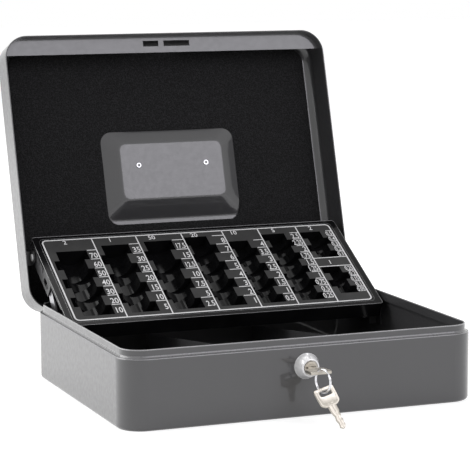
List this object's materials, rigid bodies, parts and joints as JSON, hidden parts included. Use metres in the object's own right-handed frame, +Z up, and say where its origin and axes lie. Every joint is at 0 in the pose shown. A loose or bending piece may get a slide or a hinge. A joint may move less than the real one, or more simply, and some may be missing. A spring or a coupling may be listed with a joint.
{
  "type": "cash box",
  "caption": "Steel cash box with hinged lid, coin counting tray that swings up with the lid, key lock, keys on a ring and a fold-down carry handle.",
  "frame": {"origin": "on the surface the box stands on, under the middle of the base", "axes": "+Z up, the front with the lock looks along -Y, +X to the right seen from the front"},
  "size_m": [0.3012, 0.3996, 0.2848],
  "materials": {
    "body_paint": "semi-gloss grey powder coat",
    "bracket_paint": "dark coat",
    "zinc": "bright zinc plate",
    "black_steel": "black oxide",
    "chrome": "polished",
    "nickel": "satin nickel",
    "tray_plastic": "gloss black",
    "handle_plastic": "matt black",
    "foam": "fine black foam"
  },
  "bodies": {
    "base": {"base_shell": "body_paint", "floor_mat": "foam", "partition_left": "body_paint", "partition_right": "body_paint", "hinge_leaf_base_left": "body_paint", "hinge_leaf_base_right": "body_paint", "hinge_pin_left": "zinc", "hinge_pin_right": "zinc", "arm_stand_left": "bracket_paint", "arm_stand_right": "bracket_paint", "arm_stand_rivet_left": "zinc", "arm_stand_rivet_right": "zinc", "lock_body": "chrome", "lock_nut": "zinc"},
    "lid": {"lid_shell": "body_paint", "lid_foam": "foam", "lock_strip": "body_paint", "hinge_leaf_lid_left": "body_paint", "hinge_leaf_lid_right": "body_paint", "lid_bracket_left": "bracket_paint", "lid_bracket_right": "bracket_paint", "pivot_rivet_left": "zinc", "pivot_rivet_right": "zinc", "handle_mount_left": "zinc", "handle_mount_right": "zinc", "handle_rivet_left": "zinc", "handle_rivet_right": "zinc"},
    "tray": {"tray_body": "tray_plastic", "tray_bracket_left": "bracket_paint", "tray_bracket_right": "bracket_paint", "bracket_rivets_left": "black_steel", "bracket_rivets_right": "black_steel"},
    "arm_l": {"arm_left": "zinc", "arm_pin_left": "black_steel"},
    "arm_r": {"arm_right": "zinc", "arm_pin_right": "black_steel"},
    "carry_handle": {"handle": "handle_plastic"},
    "lock_core": {"lock_plug": "chrome", "lock_cam": "zinc", "cam_screw": "zinc", "key_in_lock": "nickel"},
    "ring": {"key_ring": "nickel"},
    "loose_key": {"spare_key": "nickel"}
  },
  "joints": [
    {"name": "lid_hinge", "type": "hinge", "parent": "base", "child": "lid", "pos_m": [0, 0.123, 0.053], "axis": [1, 0, 0], "range_deg": [0, 107]},
    {"name": "tray_tilt", "type": "hinge", "parent": "lid", "child": "tray", "pos_m": [0, 0.14237, 0.0979], "axis": [1, 0, 0], "range_deg": [-135.61, 0]},
    {"name": "arm_left_swing", "type": "hinge", "parent": "base", "child": "arm_l", "pos_m": [-0.1412, 0.07724, 0.04134], "axis": [1, 0, 0], "range_deg": [0, 107.01]},
    {"name": "arm_right_swing", "type": "hinge", "parent": "base", "child": "arm_r", "pos_m": [0.1412, 0.07724, 0.04134], "axis": [1, 0, 0], "range_deg": [0, 107.01]},
    {"name": "handle_fold", "type": "hinge", "parent": "lid", "child": "carry_handle", "pos_m": [0, 0.1906, 0.1667], "axis": [1, 0, 0], "range_deg": [0, 95]},
    {"name": "lock_turn", "type": "hinge", "parent": "base", "child": "lock_core", "pos_m": [0, -0.12, 0.041], "axis": [0, -1, 0], "range_deg": [0, 90]},
    {"name": "ring_swing", "type": "hinge", "parent": "lock_core", "child": "ring", "pos_m": [0, -0.1493, 0.041], "axis": [1, 0, 0], "range_deg": [-15, 0]},
    {"name": "spare_key_swing", "type": "hinge", "parent": "ring", "child": "loose_key", "pos_m": [0, -0.1521, 0.0261], "axis": [1, 0, 0], "range_deg": [-28, 0]}
  ],
  "couplings": [
    {"joint": "tray_tilt", "follows": "lid_hinge", "ratio": -1.2673},
    {"joint": "arm_left_swing", "follows": "lid_hinge", "ratio": 1},
    {"joint": "arm_right_swing", "follows": "lid_hinge", "ratio": 1}
  ]
}
